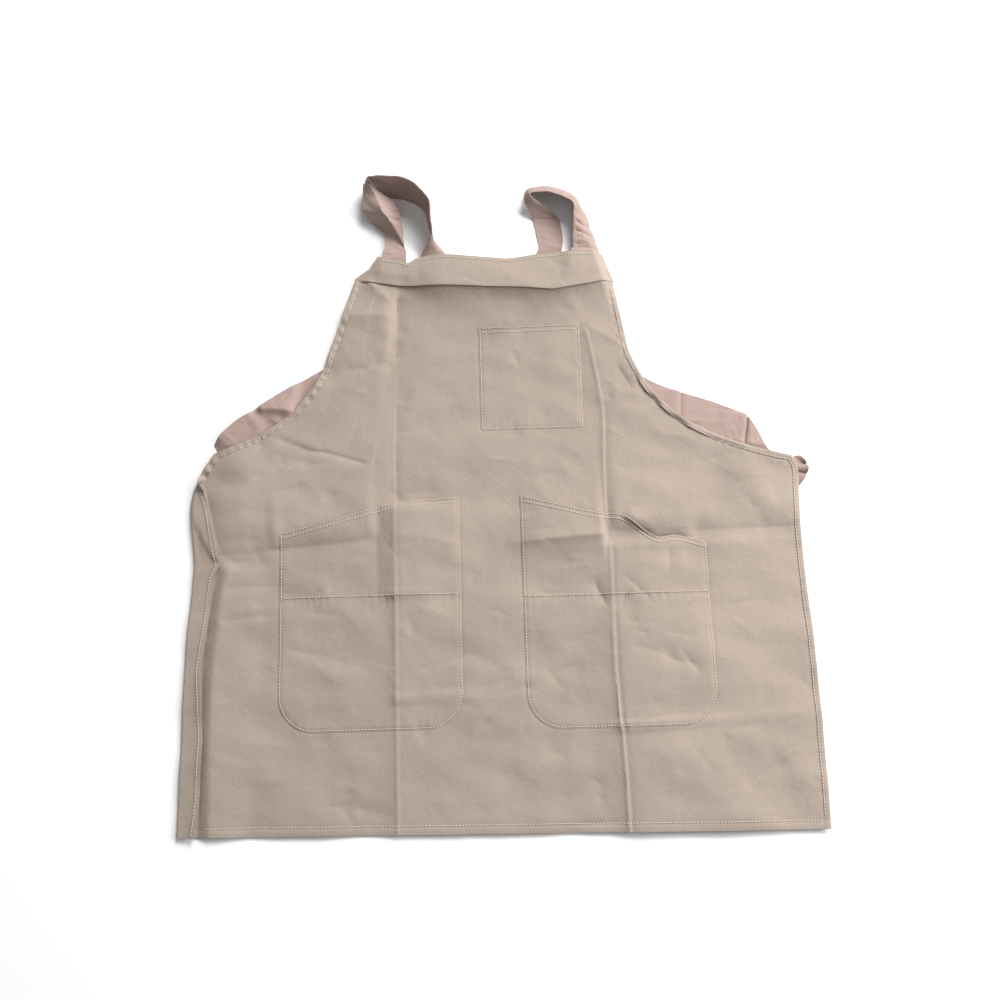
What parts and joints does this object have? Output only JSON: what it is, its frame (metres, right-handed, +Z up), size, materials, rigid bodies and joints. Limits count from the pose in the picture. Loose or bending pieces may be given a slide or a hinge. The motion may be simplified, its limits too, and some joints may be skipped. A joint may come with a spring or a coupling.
{
  "type": "bib apron",
  "caption": "Bib apron lying flat, with a top band, a chest patch pocket, slanted skirt pockets and cross-back shoulder straps that loop up and pass behind the bib.",
  "frame": {"origin": "middle of the lying apron's outline, on the surface that it lies on", "axes": "+Z up out of the surface, +Y from the hem towards the shoulder straps, +X to the right as seen from above"},
  "size_m": [0.75, 0.8071, 0.0433],
  "materials": {
    "apron_cloth": "matt plain-weave cloth, beige",
    "strap_cloth": "matt plain-weave cloth, pinkish beige"
  },
  "bodies": {
    "root": {"body_panel": "apron_cloth", "bib_band": "apron_cloth", "chest_pocket": "apron_cloth", "pocket_left": "apron_cloth", "pocket_right": "apron_cloth", "strap_left": "strap_cloth", "strap_right": "strap_cloth"}
  },
  "joints": []
}
